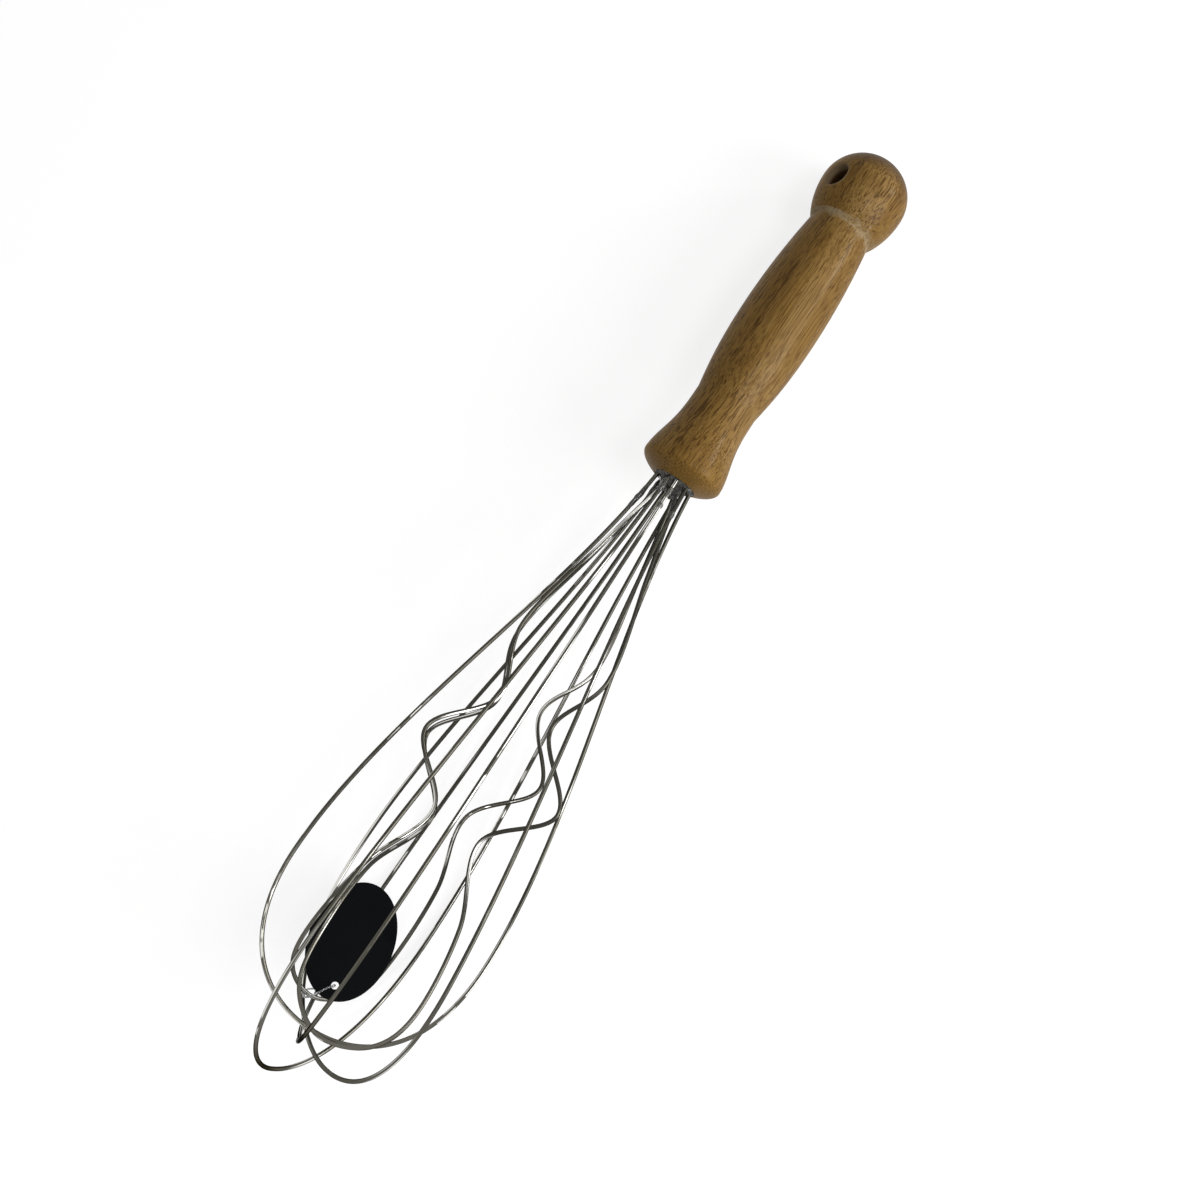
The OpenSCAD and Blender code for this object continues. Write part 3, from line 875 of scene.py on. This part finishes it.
def steel_material():
    """Drawn steel: a dark skin with painted reflections, bright streaks along the wire, and lighter
    toward the tip.
    """
    n = Nodes(bpy.data.materials.new("drawn_steel"))
    run, turns, _ = n.split(n.wire_uv())
    turn = n.times(turns, 2 * math.pi)
    wire = n.joined(run, n.math("COSINE", turn), n.math("SINE", turn))
    x = n.split(n.whisk_mm())[0]
    skin = n.noise(wire, **SKIN)
    painted_lit = n.minus(n.noise(wire, **PAINTED_LIGHT_ZONES), n.rise(x, **MOUTH_GLEAM_FADE))
    painted_lit = n.ramp(painted_lit, *PAINTED_LIGHT_STOPS)
    painted_highlight_line = n.ramp(n.noise(wire, **GLEAM_LINES), *GLEAM_LINE_STOPS)
    whole = n.ramp(n.noise(wire, **BREAKS), *BREAK_STOPS)
    whole = n.math("MAXIMUM", whole, n.ramp(n.noise(wire, **UNBROKEN), *UNBROKEN_STOPS))
    # Painted reflection: bright streaks painted into the steel's colour
    painted_gleam = n.times(n.times(painted_lit, painted_highlight_line), whole)
    tone = n.ramp(skin, *SKIN_TONES)
    tipward = n.times(n.rise(x, **TIP_LIGHTENING), n.ramp(skin, *TIP_STOPS))
    tone = n.blend(tipward, tone, STEEL_TIP)
    tone = n.blend(n.times(painted_gleam, GLEAM_SHARE), tone, STEEL_PAINTED_GLEAM)
    rough = n.plus(n.times(skin, ROUGH_BY_SKIN), STEEL_ROUGH)
    rough = n.plus(rough, n.times(painted_gleam, ROUGH_BY_GLEAM))
    return n.surface(Base_Color=tone, Metallic=1.0, Roughness=rough, Specular_Tint=STEEL_EDGE,
                     Normal=n.bump(skin, **STEEL_BUMP))


def resin_material():
    """Clear, slightly cloudy resin with a wavy skin, tinted dark grey as painted shade between the
    wires.
    """
    n = Nodes(bpy.data.materials.new("cast_resin"))
    mm = n.object_mm()
    cloud = n.noise(mm, **RESIN_CLOUDS)
    waves = n.noise(mm, **RESIN_WAVES)
    rough = n.plus(n.times(cloud, ROUGH_BY_CLOUD), RESIN_ROUGH)
    return n.surface(Base_Color=n.ramp(cloud, *RESIN_SHADE_TONES), Roughness=rough,
                     Normal=n.bump(waves, **RESIN_BUMP), **RESIN_CLEAR)


def card_material():
    """Matt black card with a faint fibre."""
    n = Nodes(bpy.data.materials.new("black_card"))
    mm = n.object_mm()
    fibre = n.noise(mm, **CARD_FIBRES)
    rough = n.plus(n.times(n.noise(mm, **CARD_SMEARS), ROUGH_BY_SMEAR), CARD_ROUGH)
    return n.surface(Base_Color=n.ramp(fibre, *CARD_TONES), Roughness=rough,
                     Specular_IOR_Level=CARD_SPECULAR, Normal=n.bump(fibre, **CARD_BUMP))


def nylon_material():
    """Clear nylon, faintly streaked along the cord."""
    n = Nodes(bpy.data.materials.new("clear_nylon"))
    drawn = n.noise(n.wire_uv(), **NYLON_STREAKS)
    rough = n.plus(n.times(drawn, ROUGH_BY_STREAK), NYLON_ROUGH)
    return n.surface(Base_Color=n.ramp(drawn, *NYLON_TONES), Roughness=rough,
                     Normal=n.bump(drawn, **NYLON_BUMP), **NYLON_CLEAR)


def floor_material():
    """White floor: bright to the eye and in reflections, and plain where it lights the whisk."""
    n = Nodes(bpy.data.materials.new("floor_white"))
    plain = n.shader("ShaderNodeBsdfDiffuse", Color=FLOOR_LIGHTING)
    shaded = n.shader("ShaderNodeBsdfDiffuse", Color=FLOOR_SEEN)
    glow = n.shader("ShaderNodeEmission", Strength=FLOOR_GLOW)
    bright = n.shader("ShaderNodeAddShader", shaded, glow)
    return n.finish(n.shader("ShaderNodeMixShader", n.seen(), plain, bright))


# Pieces

def dress(obj, material, slot, body, *nodes):
    """Gives a piece its material, hangs it under its body's empty, and hides the solids that it
    stands for.
    """
    obj.data.materials.clear()
    obj.data.materials.append(material)
    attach(obj, body)
    if nodes:
        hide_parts(*nodes)


def handle_stations():
    """Stations of distance along X and radius, from the socket's floor round to the ball's end."""
    bore_r, rim_r = SOCKET_D / 2, SOCKET_D / 2 + RIM_W
    steps = PROFILE_STEPS
    rising = [i / steps for i in range(1, steps + 1)]
    falling = [i / steps for i in range(steps - 1, -1, -1)]
    out = [(-SOCKET_DEPTH, 0.0), (-SOCKET_DEPTH, bore_r), (-SOCKET_DEPTH / 2, bore_r)]
    out += [(-LIP_R * (1 - math.sin(a)), bore_r + LIP_R * (1 - math.cos(a)))
            for a in quarter(LIP_STEPS)]
    out += [(-FOOT_AT * (1 - t), mix(FOOT_D / 2, rim_r, t * t)) for t in falling]
    out += [(-mix(WAIST_AT, FOOT_AT, t), mix(WAIST_D / 2, FOOT_D / 2, ease(t ** FLARE_SHARE)))
            for t in falling]
    out += [(-mix(WAIST_AT, GRIP_AT, t), mix(WAIST_D / 2, GRIP_D / 2, ease(t ** SWELL_SHARE)))
            for t in rising]
    out += [(-mix(GRIP_AT, NECK_AT, t), mix(GRIP_D / 2, NECK_D / 2, t * t)) for t in rising]
    front = (BALL_AT - NECK_AT) / math.sqrt(1 - (NECK_D / BALL_D) ** 2)
    for t in rising:
        x = mix(NECK_AT, BALL_AT, t)
        out.append((-x, BALL_D / 2 * math.sqrt(1 - ((BALL_AT - x) / front) ** 2)))
    out += [(-BALL_AT - BALL_END * math.sin(a), BALL_D / 2 * math.cos(a))
            for a in quarter(steps)[1:-1]]
    return out + [(-BALL_AT - BALL_END, 0.0)]


def hole_stations():
    """Stations of the hole's cutter, which flares at the ball's skin and so softens the edge."""
    reach = BALL_D / 2 - HOLE_EASE_SUNK
    half = [(-BALL_D, 0.0), (-BALL_D, HOLE_D / 2 + HOLE_EASE_R * HOLE_EASE_WIDEST)]
    half += [(-reach + HOLE_EASE_R * (math.sin(a) - HOLE_EASE_BACK),
              HOLE_D / 2 + HOLE_EASE_R * (1 - math.sin(a)) ** HOLE_EASE_POWER)
             for a in quarter(HOLE_EASE_STEPS)]
    return half + [(-x, r) for x, r in half[::-1]]


def make_handle(wood):
    """The turned handle, with the hanging hole cut through its ball."""
    turned = revolve("handle_wood", handle_stations(), HANDLE_SIDES)
    body = link("handle_wood", turned, Matrix())
    across = (Matrix.Translation((-HOLE_AT * MM, 0, 0))
              @ Matrix.Rotation(math.radians(HOLE_TURN), 4, "X")
              @ Matrix.Rotation(math.pi / 2, 4, "Z"))
    cutter = link("hole_cutter", revolve("hole_cutter", hole_stations(), HOLE_SIDES), across)
    cut = body.modifiers.new("hanging_hole", "BOOLEAN")
    cut.object = cutter
    cut.operation = "DIFFERENCE"
    cut.solver = "EXACT"
    bpy.context.view_layer.update()
    graph = bpy.context.evaluated_depsgraph_get()
    mesh = bpy.data.meshes.new_from_object(body.evaluated_get(graph))
    body.modifiers.clear()
    body.data = mesh
    bpy.data.objects.remove(cutter)
    shade_smooth(mesh)
    mesh.set_sharp_from_angle(angle=math.radians(HANDLE_SHARP))
    mesh.transform(LAID)
    dress(body, wood, "wood", "whisk", "handle")


def make_wires(steel):
    """The four plain loops and the two wavy ones."""
    for kind, loops, path, after in (("plain", PLAIN, plain_path, 0),
                                     ("wavy", WAVY, wavy_path, WAVY_UV_AFTER)):
        for number in loops:
            name = f"wire_{kind}_{number}"
            mesh = tube(name, path(number), WIRE_D / 2, WIRE_SIDES,
                        start=UV_APART * (number + after))
            dress(link(name, mesh), steel, "steel", "whisk", f"{kind}_loop_{number}")


def wire_places():
    """Where each wire stands in the bore."""
    places = [polar(PLAIN_RING_R, a) for w in PLAIN.values() for a in w["angles"]]
    return places + [polar(WAVY_RING_R, a) for w in WAVY.values() for a in w["angles"]]


def resin_height(y, z, places):
    """How far along X the resin's skin is, drawn up at the bore's wall and round each wire."""
    from_axis = math.hypot(y, z)
    edge = SOCKET_D / 2 - from_axis
    top = WALL_CREEP * math.exp(-max(0.0, edge) / WALL_CREEP_REACH)
    near = sum(math.exp(-max(0.0, math.hypot(y - a, z - b) - WIRE_D / 2) / WIRE_CREEP_REACH)
               for a, b in places)
    ripple = noise.noise(Vector((y * RIPPLE_SCALE, z * RIPPLE_SCALE, RIPPLE_AT)))
    mound = MOUND * max(0.0, 1 - (from_axis / MOUND_R) ** 2) * (1 + MOUND_RIPPLE * ripple)
    return (-RESIN_RECESS + top + mound + WIRE_CREEP * min(near, WIRE_CREEP_MOST)
            + RIPPLE * ripple)


def make_resin(resin):
    """The resin that fills the bore."""
    places = wire_places()
    sides = RESIN_SIDES
    wall = SOCKET_D / 2 - RESIN_OFF_WALL
    floor = -SOCKET_DEPTH + RESIN_OFF_FLOOR
    points = [(resin_height(0, 0, places), 0, 0)]
    for i in range(1, RESIN_RINGS + 1):
        r = wall * i / RESIN_RINGS
        points += [(resin_height(r * c, r * s, places), r * c, r * s) for c, s in circle(sides)]
    foot = len(points)
    points += [(floor, wall * c, wall * s) for c, s in circle(sides)]
    points.append((floor, 0, 0))
    faces = [(0, 1 + k, 1 + (k + 1) % sides) for k in range(sides)]
    for low in range(1, foot, sides):
        high = low + sides
        faces += [(low + k, high + k, high + (k + 1) % sides, low + (k + 1) % sides)
                  for k in range(sides)]
    faces += [(foot + k, foot + sides, foot + (k + 1) % sides) for k in range(sides)]
    mesh = mesh_from("resin_fill", points, faces)
    dress(link("resin_fill", mesh), resin, "resin", "whisk", "potting_resin")


def drop_radii(xs, swell, seed):
    """Radius of a drip at each of its rings and sides: swollen in its middle, and lumpy."""
    radii = np.empty((len(xs), DROP_SIDES))
    for i, x in enumerate(xs):
        body = math.sin(math.pi * (i / (len(xs) - 1))) ** DROP_BLUNTNESS
        for k, (c, s) in enumerate(circle(DROP_SIDES)):
            lump = noise.noise(Vector((x * DROP_LUMP_ALONG + seed, c * DROP_LUMP_ROUND,
                                       s * DROP_LUMP_ROUND)))
            radii[i, k] = WIRE_D / 2 - DROP_SUNK + swell * body * (1 + DROP_LUMP * lump)
    return radii


def make_drops(resin):
    """Drips of resin that set round wires just past the mouth."""
    work = bmesh.new()
    for kind, number, far, start, end, swell, seed in DROPS:
        path = strand(kind, number, far)
        xs = np.linspace(start, end, DROP_RINGS)
        line = np.array([np.interp(xs, path[:, 0], path[:, i]) for i in range(3)]).T
        drip = tube("drop", line, drop_radii(xs, swell, seed), DROP_SIDES)
        work.from_mesh(drip)
        bpy.data.meshes.remove(drip)
    mesh = bpy.data.meshes.new("resin_drops")
    work.to_mesh(mesh)
    work.free()
    shade_smooth(mesh)
    dress(link("resin_drops", mesh), resin, "resin", "whisk")


def tag_matrix():
    """Where the tag hangs, about its hole."""
    return (Matrix.Translation([x * MM for x in TAG_AT])
            @ Matrix.Rotation(math.radians(TAG_TURN), 4, "Z")
            @ Matrix.Rotation(math.radians(-TAG_TIP), 4, "Y")
            @ Matrix.Rotation(math.radians(TAG_ROLL), 4, "X"))


def oval_reach(dx, dy):
    """How far a ray from the tag's hole runs until it meets the oval's rim."""
    half, wide = TAG_LEN / 2, TAG_W / 2
    centre = TAG_HOLE_INSET - half
    a = (dx / half) ** 2 + (dy / wide) ** 2
    b = -2 * centre * dx / half ** 2
    c = (centre / half) ** 2 - 1
    return (-b + math.sqrt(b * b - 4 * a * c)) / (2 * a)


def make_tag(card):
    """Oval card about its hole, with rounded edges."""
    hole_r, top = TAG_HOLE_D / 2, TAG_T / 2
    soft, softer = TAG_SOFT, TAG_SOFT * TAG_SOFT_SHARE
    rows = []
    for dx, dy in circle(TAG_SIDES):
        out = oval_reach(dx, dy)
        profile = [(hole_r, top - soft), (hole_r + softer, top - softer), (hole_r + soft, top)]
        profile += [(mix(hole_r + soft, out - soft, j / TAG_STEPS), top)
                    for j in range(1, TAG_STEPS)]
        profile += [(out - soft, top), (out - softer, top - softer), (out, top - soft)]
        profile += [(r, -h) for r, h in profile[::-1]]
        rows.append([(r * dx, r * dy, h) for r, h in profile])
    count = len(rows[0])
    points = [p for row in rows for p in row]
    faces = []
    for k in range(TAG_SIDES):
        here, there = k * count, (k + 1) % TAG_SIDES * count
        faces += [(here + j, here + (j + 1) % count, there + (j + 1) % count, there + j)
                  for j in range(count)]
    mesh = mesh_from("tag_card", points, faces)
    face_outward(mesh)
    mesh.set_sharp_from_angle(angle=math.radians(TAG_SHARP))
    dress(link("tag_card", mesh, LAID @ tag_matrix()), card, "card", "tag", "hang_tag")


def make_tag_loop(nylon):
    """The tag's closed loop of clear cord, through the hole and round the wire."""
    knots = [LOOP_REACH * np.array(p, float) for p in LOOP_ROUTE]
    count = len(knots)
    path = [catmull(knots[i - 1], knots[i], knots[(i + 1) % count], knots[(i + 2) % count],
                    step / LOOP_STEPS)
            for i in range(count) for step in range(LOOP_STEPS)]
    place = LAID @ tag_matrix() @ Matrix.Rotation(math.radians(LOOP_HEADING), 4, "Z")
    mesh = tube("tag_cord", path, LOOP_D / 2, LOOP_SIDES, closed=True)
    dress(link("tag_cord", mesh, place), nylon, "nylon", "tag", "tag_loop")


# Camera, floor, world and lamps

def make_camera():
    """The camera at the photograph's place, looking at the whisk from above."""
    length = Vector(LENGTH_PX).normalized()
    across = Vector((length.y, -length.x))
    mouth = Vector(MOUTH_PX)
    per_px = EYE_HEIGHT / FOCAL_PX
    pitch = math.radians(EYE_PITCH)
    along = Vector((math.cos(pitch), 0, -math.sin(pitch)))
    side = Vector((0, 1, 0))
    toward = Vector((math.sin(pitch), 0, math.cos(pitch)))
    eye = (along * (-mouth.dot(length) * per_px) + side * (-mouth.dot(across) * per_px)
           + toward * EYE_HEIGHT)
    turn = rot("X", -EYE_ROLL) @ rot("Z", -EYE_YAW)
    right = turn @ (along * length.x + side * across.x)
    up = turn @ (-along * length.y - side * across.y)
    axes = Matrix((right, up, turn @ toward)).transposed().to_4x4()
    axes.translation = turn @ eye * MM
    data = bpy.data.cameras.new("photo_camera")
    data.sensor_width = SENSOR
    data.lens = FOCAL_PX / PHOTO_PX * SENSOR
    data.clip_start = CLIP_START
    data.clip_end = CLIP_END
    camera = bpy.data.objects.new("photo_camera", data)
    bpy.context.scene.collection.objects.link(camera)
    camera.matrix_world = LAID @ axes
    bpy.context.scene.camera = camera
    return camera


def make_floor():
    """Wide floor just under the whisk."""
    half = FLOOR_HALF
    z = cad_low.z - FLOOR_BELOW
    mesh = bpy.data.meshes.new("floor")
    mesh.from_pydata([(-half, -half, z), (half, -half, z), (half, half, z), (-half, half, z)], [],
                     [(0, 1, 2, 3)])
    floor = bpy.data.objects.new("floor", mesh)
    bpy.context.scene.collection.objects.link(floor)
    mesh.materials.append(floor_material())


def make_world():
    """White surroundings to the eye and in reflections, and a weak even light on the whisk."""
    world = bpy.data.worlds.new("studio")
    bpy.context.scene.world = world
    n = Nodes(world, "ShaderNodeOutputWorld")
    fill = n.shader("ShaderNodeBackground", Color=WHITE, Strength=WORLD_LIGHTING)
    white = n.shader("ShaderNodeBackground", Color=WHITE, Strength=WORLD_SEEN)
    n.finish(n.shader("ShaderNodeMixShader", n.seen(), fill, white))


def make_lamp(camera, name, right, up, toward, width, power):
    """Round lamp at metres to the photograph's right, up and toward the eye, aimed at the whisk."""
    middle = (cad_low + cad_high) / 2
    place = middle + camera.matrix_world.to_3x3() @ Vector((right, up, toward))
    data = bpy.data.lights.new(name, "AREA")
    data.shape = "DISK"
    data.size = width
    data.energy = power
    obj = bpy.data.objects.new(name, data)
    bpy.context.scene.collection.objects.link(obj)
    obj.location = place
    obj.rotation_mode = "QUATERNION"
    obj.rotation_quaternion = (middle - place).to_track_quat("-Z", "Y")


photo_camera = make_camera()
make_handle(wood_material())
make_wires(steel_material())
potting = resin_material()
make_resin(potting)
make_drops(potting)
make_tag(card_material())
make_tag_loop(nylon_material())
make_floor()
make_world()
for lamp_name, settings in LAMPS.items():
    make_lamp(photo_camera, lamp_name, *settings)
